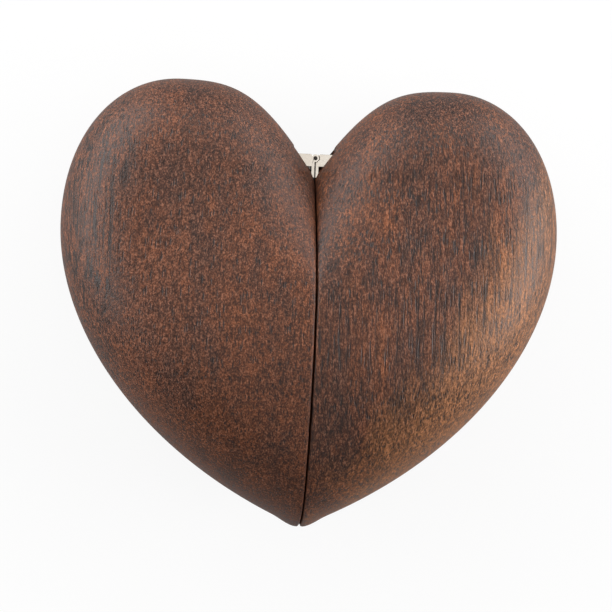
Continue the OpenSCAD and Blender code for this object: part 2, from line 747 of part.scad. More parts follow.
// The governor: worm wheel, worm and air vane in their frame.
governor_x = barrel_x + (gear_pitch_r + leaf_pitch_r) * cos(mesh_angle);
governor_z = cylinder_z - (gear_pitch_r + leaf_pitch_r) * sin(mesh_angle);
worm_wheel_r = 4.4;
worm_r = 1.2;
worm_x = governor_x + worm_wheel_r + worm_r;
worm_y = -24;
worm_tooth_w = 0.25;
governor_shaft_r = 0.5;
fly_shaft_r = 0.3;
frame_y0 = -26.9;
frame_y1 = -25.75;
rest_y0 = -23.2;
rest_y1 = -22.7;
arm_half = 1.6;
lower_arm = [17, 18.4];
upper_arm = [26.2, 27.2];
governor_screw_at = [[worm_x + 2.5, -23.6], [governor_x + 2.6, -20.8]];
module governor_frame() {
  color(brass) difference() {
    union() {
      slab(governor_x - 2.6, worm_x + 3.2, frame_y0, frame_y1, plate_z1, upper_arm[1]);
      slab(worm_x - arm_half, worm_x + arm_half, frame_y1, worm_y + arm_half, lower_arm[0], lower_arm[1]);
      slab(worm_x - arm_half, worm_x + arm_half, frame_y1, worm_y + arm_half, upper_arm[0], upper_arm[1]);
      slab(worm_x + arm_half, worm_x + 3.4, frame_y1, -22.4, plate_z1, plate_z1 + 0.8);
      slab(governor_x - 1.4, governor_x + 1.4, rest_y0, rest_y1, plate_z1, governor_z + 1.3);
      slab(governor_x - 1.4, governor_x + 3.6, rest_y0, -19.8, plate_z1, plate_z1 + 0.8);
    }
    rod_y(governor_x, governor_z, frame_y0 - 1, rest_y1 + 1, governor_shaft_r + run);
    rod_z(worm_x, worm_y, lower_arm[0] + 0.4, upper_arm[1] + 1, fly_shaft_r + run);
    for (p = governor_screw_at) rod_z(p[0], p[1], plate_z1 - 1, plate_z1 + 2, 0.55);
  }
}
module governor_screws() {
  color(blued) for (p = governor_screw_at) difference() {
    union() {
      rod_z(p[0], p[1], cavity_z0 + 0.6, plate_z1 + 0.8, 0.5);
      rod_z(p[0], p[1], plate_z1 + 0.8, plate_z1 + 1.4, 0.9);
    }
    slab(p[0] - 2, p[0] + 2, p[1] - 0.12, p[1] + 0.12, plate_z1 + 1.1, plate_z1 + 3);
  }
}
module governor_arbor() {
  color(steel) {
    rod_y(governor_x, governor_z, frame_y0 + 0.1, gear_y1, governor_shaft_r);
    wheel_y(governor_x, governor_z, gear_y0, gear_y1)
      toothed_2d(leaf_teeth, leaf_pitch_r - tooth_down, leaf_pitch_r + tooth_up, train_tooth_w, mesh_angle + 180);
  }
}
wheel_half_w = 0.6;
module worm_wheel() {
  color(brass) difference() {
    wheel_y(governor_x, governor_z, worm_y - wheel_half_w, worm_y + wheel_half_w)
      toothed_2d(worm_teeth, worm_wheel_r - tooth_down, worm_wheel_r + tooth_up, worm_tooth_w, 0);
    rod_y(governor_x, governor_z, worm_y - 2, worm_y + 2, governor_shaft_r);
  }
}
// The worm is an off-centre disc twisted along its axis, which makes one rounded thread.
worm_pitch = 2 * PI * worm_wheel_r / worm_teeth;
worm_turns = 4;
thread_steps = 8;
thread_r = 1;
thread_offset = worm_r + tooth_up - thread_r;
worm_half_len = worm_turns * worm_pitch / 2;
module worm_thread() {
  translate([worm_x, worm_y, governor_z - worm_half_len])
    rotate(-worm_turns * 180)
      linear_extrude(height = 2 * worm_half_len, twist = -360 * worm_turns, slices = worm_turns * thread_steps)
        translate([thread_offset, 0]) circle(r = thread_r, $fn = 14);
}
vane_z0 = 28;
vane_z1 = 31.5;
module fly_worm() {
  color(steel) {
    rod_z(worm_x, worm_y, lower_arm[0] + 0.5, vane_z1, fly_shaft_r);
    worm_thread();
  }
}
vane_r = 4;
module fly_vane() {
  color(brass) difference() {
    union() {
      rod_z(worm_x, worm_y, vane_z0, vane_z1, 0.8);
      slab(worm_x - vane_r + 0.05, worm_x + vane_r - 0.05, worm_y - 0.2, worm_y + 0.2, vane_z0, vane_z1);
    }
    rod_z(worm_x, worm_y, vane_z0 - 1, vane_z1 + 1, fly_shaft_r);
  }
}
module stop_plunger() {
  collar_x = window_back - plunger_travel - 0.3;
  color(brass) {
    rod_x(plunger_y, plunger_z, worm_x + vane_r + 0.15, -0.1, plunger_r);
    rod_x(plunger_y, plunger_z, collar_x - collar_t, collar_x, collar_r);
  }
}

left_shell();
right_shell();
hinge_leaf_left();
hinge_leaf_right();
hinge_pin();
hinge_screws_left();
hinge_screws_right();
magnet_left();
magnet_right();
window();
window_screws();
pocket_lining();
cushion_front();
cushion_back();
bedplate();
movement_screws();
comb();
comb_screws();
cylinder_tube();
cylinder_pins();
cylinder_arbor();
cylinder_pinion();
cylinder_gear();
cylinder_bearings();
spring_barrel();
barrel_gear();
mainspring();
barrel_bridge();
bridge_screws();
winding_arbor();
ratchet_wheel();
click();
click_stud();
click_spring();
winding_key();
governor_frame();
governor_screws();
governor_arbor();
worm_wheel();
fly_worm();
fly_vane();
stop_plunger();
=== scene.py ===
# %% [markdown]
# # A wooden heart that opens on a music movement
#
# The heart is carved from two blocks of walnut that part along the middle and turn on a small hinge in the
# notch. The left half holds a wind-up comb movement behind a clear window, and the right half holds a lined
# pocket with a cushion for a ring. The imported model fixes where everything sits; this notebook gives each
# piece its surface. The first step loads that model.

# %% Load the frame
import math

import bmesh
import bpy
import numpy as np
from mathutils import Matrix, Vector


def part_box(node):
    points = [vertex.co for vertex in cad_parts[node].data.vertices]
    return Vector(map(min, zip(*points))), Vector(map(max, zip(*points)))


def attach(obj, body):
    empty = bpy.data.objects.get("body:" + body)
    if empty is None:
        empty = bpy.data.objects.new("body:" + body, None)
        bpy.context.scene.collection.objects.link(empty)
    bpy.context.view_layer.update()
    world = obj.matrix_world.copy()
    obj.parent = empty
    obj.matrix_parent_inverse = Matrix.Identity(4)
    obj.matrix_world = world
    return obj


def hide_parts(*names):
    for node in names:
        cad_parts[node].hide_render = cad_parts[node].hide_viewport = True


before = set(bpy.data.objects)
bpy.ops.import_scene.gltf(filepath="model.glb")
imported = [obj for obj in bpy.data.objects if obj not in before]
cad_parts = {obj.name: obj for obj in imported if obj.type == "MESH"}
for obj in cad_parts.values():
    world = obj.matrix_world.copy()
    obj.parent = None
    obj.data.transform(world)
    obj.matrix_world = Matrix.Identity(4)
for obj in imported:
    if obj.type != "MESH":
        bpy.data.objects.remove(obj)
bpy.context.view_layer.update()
MM = 0.001
print("nodes:", len(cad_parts))

# %% [markdown]
# ## The camera
#
# A long lens looks almost straight down on the front of the heart, a little from the left and from the lobes,
# so that the rounded edges show on every side. The camera is placed by a direction, a distance and a roll,
# which are easier to read than a matrix. The lens is long, so the shape hardly widens towards the camera.

# %% Place the camera
LOOK_AT = Vector((0, 0, 22)) * MM
LEAN_LEFT = math.radians(4.37)
LEAN_UP = math.radians(3.76)
ROLL = math.radians(2.57)
DISTANCE = 306 * MM
LENS = 86.0


def camera_axes():
    """The camera's right, up and backward directions."""
    back = Vector((
        -math.sin(LEAN_LEFT) * math.cos(LEAN_UP),
        math.sin(LEAN_UP),
        math.cos(LEAN_LEFT) * math.cos(LEAN_UP),
    ))
    right = Vector((0, 1, 0)).cross(back).normalized()
    up = back.cross(right)
    turn = Matrix.Rotation(ROLL, 3, back)
    return turn @ right, turn @ up, back


lens = bpy.data.cameras.new("camera")
lens.lens = LENS
lens.shift_x = -0.0034
lens.shift_y = 0.0035
camera = bpy.data.objects.new("camera", lens)
bpy.context.scene.collection.objects.link(camera)
right, up, back = camera_axes()
axes = Matrix((right, up, back)).transposed()
camera.matrix_world = Matrix.Translation(LOOK_AT + DISTANCE * back) @ axes.to_4x4()
bpy.context.scene.camera = camera
print("camera at", [round(c, 3) for c in camera.matrix_world.translation])

# %% [markdown]
# ## Ways to build a finish
#
# A finish is a small graph of nodes, and so are the white of the table and of the world. `add` makes one node,
# sets it and links it in one go, so that each recipe below reads as a list of steps. All patterns read Object
# coordinates: they run through the solid, as grain runs through wood, and stay on the piece when it turns.

# %% One node, and a point in the solid
def new_finish(name):
    """A material, its node tree and its shader."""
    finish = bpy.data.materials.new(name)
    finish.use_nodes = True
    tree = finish.node_tree
    return finish, tree, tree.nodes["Principled BSDF"]


def add(tree, kind, inputs=None, **settings):
    """One node, with its settings made and its inputs set or linked."""
    made = tree.nodes.new("ShaderNode" + kind)
    for key, value in settings.items():
        setattr(made, key, value)
    for key, value in (inputs or {}).items():
        if isinstance(value, bpy.types.NodeSocket):
            tree.links.new(value, made.inputs[key])
        else:
            made.inputs[key].default_value = value
    return made


def object_point(tree, turn=(0, 0, 0), shift=(0, 0, 0)):
    """Object coordinates, turned and shifted in degrees and millimetres."""
    point = add(tree, "TexCoord").outputs["Object"]
    placed = add(tree, "Mapping", {
        "Vector": point,
        "Location": [s * MM for s in shift],
        "Rotation": [math.radians(t) for t in turn],
    })
    return placed.outputs[0]


# %% Patterns, levels and colours
def stretched(tree, point, size):
    """The point in cells of the given size in millimetres."""
    cell = [1 / (s * MM) for s in size]
    return add(tree, "VectorMath", {0: point, 1: cell}, operation="MULTIPLY").outputs[0]


def noise(tree, point, size, detail=2, rough=0.5, wander=0):
    """Soft noise, about 0 to 1, whose blobs have the given size in millimetres."""
    made = add(tree, "TexNoise", {
        "Vector": stretched(tree, point, size),
        "Scale": 1, "Detail": detail, "Roughness": rough, "Distortion": wander,
    })
    return made.outputs[0]


def ramp(tree, value, low, high, to_low=0.0, to_high=1.0):
    """The value carried from low..high to to_low..to_high with soft ends."""
    made = add(tree, "MapRange", {
        "Value": value, "From Min": low, "From Max": high, "To Min": to_low, "To Max": to_high,
    }, interpolation_type="SMOOTHSTEP")
    return made.outputs[0]


def times(tree, a, b):
    """The product of two values."""
    return add(tree, "Math", {0: a, 1: b}, operation="MULTIPLY").outputs[0]


def tinted(tree, share, under, over):
    """The colour over laid on the colour under by the given share."""
    made = add(tree, "Mix", data_type="RGBA", blend_type="MIX")
    for socket, value in ((0, share), (6, under), (7, over)):
        if isinstance(value, bpy.types.NodeSocket):
            tree.links.new(value, made.inputs[socket])
        else:
            made.inputs[socket].default_value = value
    return made.outputs[2]


def shaded(tree, colour, level):
    """A colour made darker or lighter by a level around 1."""
    return add(tree, "VectorMath", {0: colour, "Scale": level}, operation="SCALE").outputs[0]


def srgb(red, green, blue):
    """A screen colour of 0 to 255 as the linear colour that a node takes."""
    def linear(level):
        level /= 255
        return level / 12.92 if level <= 0.04045 else ((level + 0.055) / 1.055) ** 2.4
    return (linear(red), linear(green), linear(blue), 1)


print("a mid brown in linear light:", [round(c, 3) for c in srgb(94, 52, 31)])

# %% [markdown]
# ## The light
#
# Polished wood shows soft boxes as broad grey sheens on its shoulders. So four boxes stand low at the sides,
# where their sheens fall on the shoulders alone, and only weak ones hang behind, in front and overhead, which
# keeps the middle of the heart deep in colour. Each box is a square area light that faces the heart, placed by
# its azimuth and its elevation.

# %% Soft boxes
BOX_SIZE = 0.34
BOX_DISTANCE = 0.5
SOFT_BOXES = {
    # name: azimuth from behind the heart, elevation, power
    "box_right": (90, 15, 2.75),
    "box_left": (275, 13, 1.95),
    "box_behind_left": (315, 15, 2.15),
    "box_behind_right": (45, 15, 1.55),
    "box_behind": (0, 35, 0.5),
    "box_front": (180, 60, 0.18),
    "box_over": (0, 89, 0.4),
}


def soft_box(name, azimuth, elevation, power):
    """A square area light that faces the middle of the heart."""
    light = bpy.data.lights.new(name, "AREA")
    light.shape = "SQUARE"
    light.size = BOX_SIZE
    light.energy = power
    turn, lift = math.radians(azimuth), math.radians(elevation)
    way = Vector((math.sin(turn) * math.cos(lift), math.cos(turn) * math.cos(lift), math.sin(lift)))
    box = bpy.data.objects.new(name, light)
    bpy.context.scene.collection.objects.link(box)
    box.location = LOOK_AT + way * BOX_DISTANCE
    box.rotation_euler = way.to_track_quat("Z", "Y").to_euler()


for name, (azimuth, elevation, power) in SOFT_BOXES.items():
    soft_box(name, azimuth, elevation, power)

# %% [markdown]
# ## The white surroundings
#
# The heart lies on a white table in a white room. If both were as bright as they look, they would light the
# wood from all sides and wash out its colour. So their white is for rays that come from the camera or through
# a clear piece, and metal and polish see a share of it. For the light that bounces onto the wood the table is
# a plain grey, and the room nearly dark. Near the heart a share of the table's white is chalk instead of glow,
# which keeps a faint shadow and fades out around it.

# %% Which rays see the white
MIRROR_SHARE = 0.25


def seen_ray(tree):
    """1 for rays from the camera or a clear piece, a share for a reflection, and 0 for the light's own."""
    path = add(tree, "LightPath").outputs
    share = times(tree, path["Is Glossy Ray"], MIRROR_SHARE)
    for ray in ("Is Camera Ray", "Is Transmission Ray"):
        share = add(tree, "Math", {0: share, 1: path[ray]}, operation="MAXIMUM").outputs[0]
    return share


# %% The room
WORLD_FILL = 0.04
world = bpy.data.worlds.new("studio")
bpy.context.scene.world = world
world.use_nodes = True
sky = world.node_tree
level = add(sky, "MapRange", {"Value": seen_ray(sky), "To Min": WORLD_FILL, "To Max": 1})
sky.nodes["Background"].inputs["Color"].default_value = (1, 1, 1, 1)
sky.links.new(level.outputs[0], sky.nodes["Background"].inputs["Strength"])
print("world nodes:", len(sky.nodes))

# %% The table
FLOOR_SIZE = 3
FLOOR_GREY = (0.45, 0.45, 0.45, 1)
CHALK = (0.85, 0.85, 0.85, 1)
SHADOW_SHARE = 0.12
SHADOW_NEAR = 0.05
SHADOW_FAR = 0.16

shape = bmesh.new()
bmesh.ops.create_grid(shape, x_segments=1, y_segments=1, size=FLOOR_SIZE / 2)
sheet = bpy.data.meshes.new("table")
shape.to_mesh(sheet)
shape.free()
table = bpy.data.objects.new("table", sheet)
bpy.context.scene.collection.objects.link(table)
white, tree, paint = new_finish("white_table")
paint.inputs["Base Color"].default_value = FLOOR_GREY
paint.inputs["Roughness"].default_value = 0.9
paint.inputs["Specular IOR Level"].default_value = 0.1
glow = add(tree, "Emission", {"Strength": 1.0})
chalk = add(tree, "BsdfDiffuse", {"Color": CHALK})
away = add(tree, "VectorMath", {0: object_point(tree)}, operation="LENGTH")
shadow = ramp(tree, away.outputs["Value"], SHADOW_NEAR, SHADOW_FAR, SHADOW_SHARE, 0)
seen = add(tree, "MixShader", {0: shadow, 1: glow.outputs[0], 2: chalk.outputs[0]})
mix = add(tree, "MixShader", {0: seen_ray(tree), 1: paint.outputs[0], 2: seen.outputs[0]})
tree.links.new(mix.outputs[0], tree.nodes["Material Output"].inputs["Surface"])
table.data.materials.append(white)
bpy.context.scene.view_settings.view_transform = "Standard"
print("table:", FLOOR_SIZE, "m wide, shadow fades out at", SHADOW_FAR, "m")

# %% [markdown]
# ## Walnut
#
# Walnut is told by its pores: thin dark tubes that run with the grain. Where the surface lies along the grain
# they show as long dashes, and where it curves across the grain they show as dots. A pattern in the solid
# gives both at once, so the recipe stretches its cells along the grain and lets the carved surface cut them.
#
# The ground colour comes from broad bands and clouds between a warm and a cool brown. Fine fibres and a fine
# speckle then make it lighter and darker by a factor, so the hue stays, and the lightest specks turn a paler,
# greyer tan, partly the wood's own flecks and partly painted glints. Dark fibres are also smoother than light
# ones, which lets the sheens sparkle. Each half is painted paler towards one side as painted light, where the
# lamps fall on it, and made darker and cooler towards its outer upper shoulder. The board's dark lines gather
# on one side, and the two halves come from two boards, so each gets its own tilt and shares.

# %% Browns, and the sides of a board
WALNUT = srgb(93, 51, 30)
WALNUT_WARM = srgb(118, 66, 36)
WALNUT_COOL = srgb(60, 37, 29)
WALNUT_PAINTED_LIGHT = srgb(146, 96, 58)
WALNUT_FLECK_AND_GLINT = srgb(112, 82, 66)
PORE = srgb(22, 14, 11)


def side_share(tree, way, start, end, wobble):
    """0 to 1 over the board: rises from start to end millimetres along a direction, with a wavy border."""
    point = object_point(tree)
    step = [c / MM for c in way]
    along = add(tree, "VectorMath", {0: point, 1: step}, operation="DOT_PRODUCT").outputs["Value"]
    waves = ramp(tree, noise(tree, point, (7, 22, 9), detail=2), 0.3, 0.7, -wobble, wobble)
    place = add(tree, "Math", {0: along, 1: waves}, operation="ADD").outputs[0]
    return ramp(tree, place, start, end)


# %% The walnut recipe
def walnut(name, tilt, shift, dash, streaks, warmth, pale_side, dark_side, streak_side):
    """Solid walnut. dash is the length of the grain's marks in millimetres; streaks and warmth are shares
    from 0 to 1 for straight dark lines and for warm light mottling; the three side arguments say where the
    wood is painted paler as painted light, where it is made darker and cooler, and where the board's dark lines
    gather: a direction, and where it starts and ends along it."""
    finish, tree, shader = new_finish(name)
    grain = object_point(tree, tilt, shift)
    bands = noise(tree, grain, (9, 130, 14), detail=2, wander=0.5)
    clouds = noise(tree, grain, (5, 9 + 2 * dash, 5), detail=4, rough=0.6)
    lines = noise(tree, grain, (0.5, 26, 0.7), detail=3, rough=0.6, wander=0.1)
    fibres = noise(tree, grain, (0.6, dash, 0.6), detail=2, rough=0.8)
    speckle = noise(tree, grain, (0.3, 0.34 + 0.06 * dash, 0.3), detail=1, rough=0.8)
    gathered = side_share(tree, *streak_side, 2)
    colour = tinted(tree, ramp(tree, clouds, 0.48, 0.66, 0, warmth), WALNUT, WALNUT_WARM)
    colour = tinted(tree, ramp(tree, clouds, 0.50, 0.34, 0, 0.55), colour, WALNUT_COOL)
    colour = tinted(tree, ramp(tree, bands, 0.54, 0.36, 0, 0.45), colour, WALNUT_COOL)
    # painted light: the half turns paler towards the side where the lamps fall on it
    colour = tinted(tree, times(tree, side_share(tree, *pale_side, 3), 0.75), colour, WALNUT_PAINTED_LIGHT)
    # darker and cooler towards the half's outer upper shoulder
    colour = tinted(tree, times(tree, side_share(tree, *dark_side, 3), 0.35), colour, WALNUT_COOL)
    # the lightest specks turn a greyer tan: partly the wood's own flecks, partly painted glints
    colour = tinted(tree, ramp(tree, speckle, 0.48, 0.66, 0, 0.35), colour, WALNUT_FLECK_AND_GLINT)
    colour = shaded(tree, colour, ramp(tree, fibres, 0.34, 0.66, 0.5, 1.5))
    colour = shaded(tree, colour, ramp(tree, speckle, 0.30, 0.70, 0.42, 1.45))
    straight = times(tree, ramp(tree, lines, 0.47, 0.38), ramp(tree, gathered, 0, 1, streaks, 0))
    bundled = times(tree, ramp(tree, lines, 0.50, 0.40), gathered)
    dark_lines = add(tree, "Math", {0: straight, 1: bundled}, operation="MAXIMUM").outputs[0]
    colour = tinted(tree, times(tree, dark_lines, 0.85), colour, PORE)
    pores = add(tree, "TexVoronoi", {
        "Vector": stretched(tree, grain, (0.5, 2 * dash, 0.5)), "Scale": 1, "Randomness": 1,
    })
    chosen = ramp(tree, pores.outputs["Color"], 0.45, 0.5)
    open_pores = times(tree, ramp(tree, pores.outputs["Distance"], 0.40, 0.18), chosen)
    colour = tinted(tree, times(tree, open_pores, 0.85), colour, PORE)
    tree.links.new(colour, shader.inputs["Base Color"])
    sunk = add(tree, "Math", {0: times(tree, dark_lines, 0.5), 1: open_pores}, operation="ADD").outputs[0]
    raised = add(tree, "Math", {0: times(tree, fibres, 0.5), 1: times(tree, speckle, 0.5)}, operation="ADD")
    polish = add(tree, "Math", {0: raised.outputs[0], 1: times(tree, sunk, 0.3)}, operation="SUBTRACT")
    tree.links.new(ramp(tree, polish.outputs[0], 0.36, 0.62, 0.4, 0.62), shader.inputs["Roughness"])
    shader.inputs["Specular IOR Level"].default_value = 0.35
    relief = add(tree, "Math", {0: speckle, 1: times(tree, sunk, 0.6)}, operation="SUBTRACT")
    bump = add(tree, "Bump", {"Height": relief.outputs[0], "Strength": 1, "Distance": 0.08 * MM})
    tree.links.new(bump.outputs[0], shader.inputs["Normal"])
    return finish


# %% The two boards
walnut_left = walnut(
    "walnut_left", (7, 0, 1), (3, 11, 5), dash=1.6, streaks=0.1, warmth=0.3,
    pale_side=((-0.6, -0.8, 0), 90, 99), dark_side=((-0.85, 0.5, 0), 34, 60), streak_side=((-1, 0, 0), 36, 40))
walnut_right = walnut(
    "walnut_right", (2, 0, -1), (31, 47, 19), dash=5.2, streaks=0.8, warmth=0.7,
    pale_side=((0.86, -0.5, 0), 18, 31), dark_side=((0.8, 0.6, 0), 34, 48), streak_side=((1, 0, 0), 90, 99))
print("finishes:", walnut_left.name, walnut_right.name)

# %% [markdown]
# ## The carved halves
#
# Each half is turned from one formula: a smooth outline, and a height that rises from it as a quarter round
# and swells towards a crown on the seam. A grid of rows and columns is laid out flat with `create_grid` and
# each point is then moved to its place, which keeps the quads even and the surface smooth. The rows run from
# the seam to the rim, close together at both, where the wood turns fastest. The outline is four curves, of
# which the first rounds the tip to a small nose. The sharp edge along the seam is eased by hand-sanding, which
# the script does by moving the points near the seam inwards on a small arc.

# %% The outline of one half, in millimetres
HALF_GAP = 0.15
HALF_W = 51.85
TIP_Y = -46.4
NOSE = 5.3  # half the width at which the tip starts to round
TOP_Y = 46.4
WIDEST_Y = 15.6
NOTCH_Y = 28.0
TIP_ANGLE = 22.5
NOSE_ANGLE = 26
NOTCH_ANGLE = 56
MID_Z = 19.8
DOME = 24.2
EDGE = 14
LOBE_X = 28
COLUMNS = 150
SEAM_ROWS = 7
FACE_ROWS = 46
# how far each curve is pulled from its two ends
TIP_PULL, SIDE_PULL = 34.5, 23.5
NOSE_PULL, CUT_PULL = 0.42 * NOSE, 0.38 * NOSE
SHOULDER_PULL, OUTER_PULL = 18.3, 13.5
INNER_PULL, NOTCH_PULL = 10.3, 21


def toward(angle, length):
    """A step of that length at that angle in degrees."""
    return np.array([math.cos(math.radians(angle)), math.sin(math.radians(angle))]) * length


def bezier(points, count):
    """Points along a cubic curve."""
    t = np.linspace(0, 1, count)[:, None]
    a, b, c, d = (np.array(p, float) for p in points)
    return (1 - t) ** 3 * a + 3 * (1 - t) ** 2 * t * b + 3 * (1 - t) * t * t * c + t ** 3 * d


def outline():
    """The outline from the tip round the side and the lobe to the notch."""
    tip, notch = np.array([0, TIP_Y]), np.array([0, NOTCH_Y])
    widest, lobe = (HALF_W, WIDEST_Y), (LOBE_X, TOP_Y)
    side = bezier([tip, tip + toward(TIP_ANGLE, TIP_PULL), (HALF_W, WIDEST_Y - SIDE_PULL), widest], 200)
    cut = int(np.argmax(side[:, 0] > NOSE))
    nose = bezier([tip, tip + toward(0, NOSE_PULL), side[cut] - toward(NOSE_ANGLE, CUT_PULL), side[cut]], 24)
    shoulder = bezier([widest, (HALF_W, WIDEST_Y + SHOULDER_PULL), (LOBE_X + OUTER_PULL, TOP_Y), lobe], 120)
    inner = bezier([lobe, (LOBE_X - INNER_PULL, TOP_Y), notch + toward(NOTCH_ANGLE, NOTCH_PULL), notch], 120)
    return np.concatenate([nose[:-1], side[cut:-1], shoulder[:-1], inner])


def along(points, shares):
    """Points at the given shares of a line's length."""
    steps = np.linalg.norm(np.diff(points, axis=0), axis=1)
    run = np.concatenate([[0], np.cumsum(steps)]) / steps.sum()
    return np.stack([np.interp(shares, run, points[:, k]) for k in (0, 1)], axis=1)


fine_outline = outline()
column_share = np.linspace(0, 1, COLUMNS + 1)
rim = along(fine_outline, column_share)
print("outline:", len(fine_outline), "points, widest", round(fine_outline[:, 0].max(), 2), "mm")

# %% The height of the wood at any point of one half
VALLEY_DEPTH = 0.61
VALLEY_REACH = 28.5
BLEND_POWER = 4
CROWN_Y = -6
CROWN_REACH = (46, 32)
FLAT_SHARE = 0.58
FRONT_POWER = 3
BACK_POWER = 2


def edge_distance(p):
    """Distance from each point to the outline."""
    start, end = fine_outline[:-1], fine_outline[1:]
    edge = end - start
    length = (edge ** 2).sum(axis=1)
    nearest = np.full(len(p), np.inf)
    for a, d, size in zip(start, edge, length):
        t = np.clip(((p - a) @ d) / size, 0, 1)
        nearest = np.minimum(nearest, np.linalg.norm(p - a - t[:, None] * d, axis=1))
    return nearest


def round_distance(p):
    """Distance to the outline or to the valley that runs down the seam, whichever is nearer."""
    below = NOTCH_Y - p[:, 1]
    valley = p[:, 0] + below * (1 - VALLEY_DEPTH * np.exp(-(below / VALLEY_REACH) ** 2))
    valley[below < 0] = 2 * HALF_W
    near = [np.maximum(d, 0.01) ** -float(BLEND_POWER) for d in (edge_distance(p), valley)]
    return (near[0] + near[1]) ** (-1 / BLEND_POWER)


def rise(share, power):
    """0 at the edge, with an upright start, to 1 where the edge no longer rounds over."""
    return np.sqrt(1 - (1 - np.minimum(share, 1)) ** power)


def swell(p):
    """The crown of the front, highest on the seam."""
    x, y = p[:, 0] / CROWN_REACH[0], (p[:, 1] - CROWN_Y) / CROWN_REACH[1]
    return FLAT_SHARE + (1 - FLAT_SHARE) * np.exp(-x ** 2 - y ** 2)


# %% One half as a closed solid
SEAM_SHARE = 0.012
SEAM_EASE = 0.6
ROW_BEND = 0.75


def rows():
    """Shares of the way from the seam to the rim, close together at both."""
    near = SEAM_SHARE * (np.arange(SEAM_ROWS) / SEAM_ROWS) ** 1.5
    turn = np.linspace(0, math.pi / 2, FACE_ROWS + 1)
    return np.concatenate([near, SEAM_SHARE + (1 - SEAM_SHARE) * np.sin(turn)])


def half_sheet(side):
    """The front (1) or the back (-1) of the right half, as points row by row."""
    seam_y = TIP_Y + (NOTCH_Y - TIP_Y) * (1 - (1 - column_share) ** ROW_BEND)
    seam = np.stack([np.zeros_like(seam_y), seam_y], axis=1)
    flat = np.concatenate([seam + v * (rim - seam) for v in rows()])
    inwards = round_distance(flat)
    inwards[-len(rim):] = 0
    if side > 0:
        z = MID_Z + DOME * rise(inwards / (1.5 * EDGE), FRONT_POWER) * swell(flat)
    else:
        z = MID_Z - MID_Z * rise(inwards / EDGE, BACK_POWER)
    return np.column_stack([flat, z])


def add_sheet(shape, side):
    """A grid laid on the points of one sheet."""
    row_n, column_n = len(rows()), len(rim)
    made = bmesh.ops.create_grid(shape, x_segments=column_n - 1, y_segments=row_n - 1, size=1)
    ordered = sorted(made["verts"], key=lambda v: (round(v.co.y, 6), round(v.co.x, 6)))
    for vert, place in zip(ordered, half_sheet(side)):
        vert.co = place


def ease_seam(shape):
    """Rounds the edge along the seam by moving the points near it inwards."""
    shape.normal_update()
    moves = []
    for vert in shape.verts:
        if vert.co.x < SEAM_EASE:
            drop = SEAM_EASE - math.sqrt(SEAM_EASE ** 2 - (SEAM_EASE - vert.co.x) ** 2)
            moves.append((vert, Vector((0, vert.normal.y, vert.normal.z)) * drop))
    for vert, move in moves:
        vert.co -= move


def carved_half(name, mirror):
    """The solid half heart, before anything is milled into it."""
    shape = bmesh.new()
    add_sheet(shape, 1)
    add_sheet(shape, -1)
    bmesh.ops.remove_doubles(shape, verts=shape.verts, dist=0.004)
    bmesh.ops.recalc_face_normals(shape, faces=shape.faces)
    ease_seam(shape)
    open_edges = [e for e in shape.edges if e.is_boundary]
    bmesh.ops.edgeloop_fill(shape, edges=open_edges)
    bmesh.ops.translate(shape, vec=(HALF_GAP, 0, 0), verts=shape.verts)
    bmesh.ops.scale(shape, vec=(mirror * MM, MM, MM), verts=shape.verts)
    bmesh.ops.recalc_face_normals(shape, faces=shape.faces)
    mesh = bpy.data.meshes.new(name)
    shape.to_mesh(mesh)
    loose = sum(1 for e in shape.edges if not e.is_manifold)
    print(name, "faces", len(shape.faces), "open edges", loose, "volume cm3", round(shape.calc_volume() * 1e6, 1))
    shape.free()
    piece = bpy.data.objects.new(name, mesh)
    bpy.context.scene.collection.objects.link(piece)
    return piece


left_half = carved_half("carved_left_half", -1)
right_half = carved_half("carved_right_half", 1)

# %% [markdown]
# ## Milling the wood
#
# On a bench the spaces for the movement, the hinge, the magnets and the ring would be milled with a router and
# drilled. A Boolean modifier does the same here: each cutter is a plain block or rod with its corners rounded
# by `bevel`, all cutters of one half are joined, and one difference takes them out. The sizes and places are
# those of the parts that go in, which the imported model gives.

# %% Cutters
def milled_block(shape, low, high, corner):
    """A block between two corners in millimetres, its edges along X rounded."""
    low, high = Vector(low), Vector(high)
    made = bmesh.ops.create_cube(shape, size=1)
    verts = made["verts"]
    bmesh.ops.scale(shape, vec=high - low, verts=verts)
    bmesh.ops.translate(shape, vec=(low + high) / 2, verts=verts)
    edges = {e for v in verts for e in v.link_edges}
    lengthwise = [e for e in edges if abs(e.verts[0].co.x - e.verts[1].co.x) > 0.001]
    bmesh.ops.bevel(
        shape, geom=lengthwise, offset=corner, segments=6, profile=0.5, affect="EDGES", material=-1,
        offset_type="OFFSET")


def rod(shape, start, end, radius, sides=48, end_radius=None):
    """A round rod from start to end in millimetres."""
    start, end = Vector(start), Vector(end)
    turn = (end - start).to_track_quat("Z", "Y").to_matrix().to_4x4()
    place = Matrix.Translation((start + end) / 2) @ turn
    return bmesh.ops.create_cone(
        shape, cap_ends=True, segments=sides, radius1=radius, radius2=radius if end_radius is None else end_radius,
        depth=(end - start).length, matrix=place)["verts"]


def as_object(name, shape):
    """A shape in millimetres as an object in metres."""
    bmesh.ops.scale(shape, vec=(MM, MM, MM), verts=shape.verts)
    bmesh.ops.recalc_face_normals(shape, faces=shape.faces)
    mesh = bpy.data.meshes.new(name)
    shape.to_mesh(mesh)
    shape.free()
    made = bpy.data.objects.new(name, mesh)
    bpy.context.scene.collection.objects.link(made)
    return made


def settle(piece):
    """Replaces a piece's mesh by what its modifiers make of it, and removes them."""
    bpy.context.view_layer.update()
    shaped = piece.evaluated_get(bpy.context.evaluated_depsgraph_get())
    piece.data = bpy.data.meshes.new_from_object(shaped)
    piece.modifiers.clear()


def mill(piece, cutter):
    """Takes the cutter out of the piece."""
    cut = piece.modifiers.new("mill", "BOOLEAN")
    cut.object = cutter
    cut.operation = "DIFFERENCE"
    cut.solver = "EXACT"
    cut.use_self = True
    settle(piece)
    bpy.data.objects.remove(cutter)
    print(piece.name, "milled:", len(piece.data.polygons), "faces")


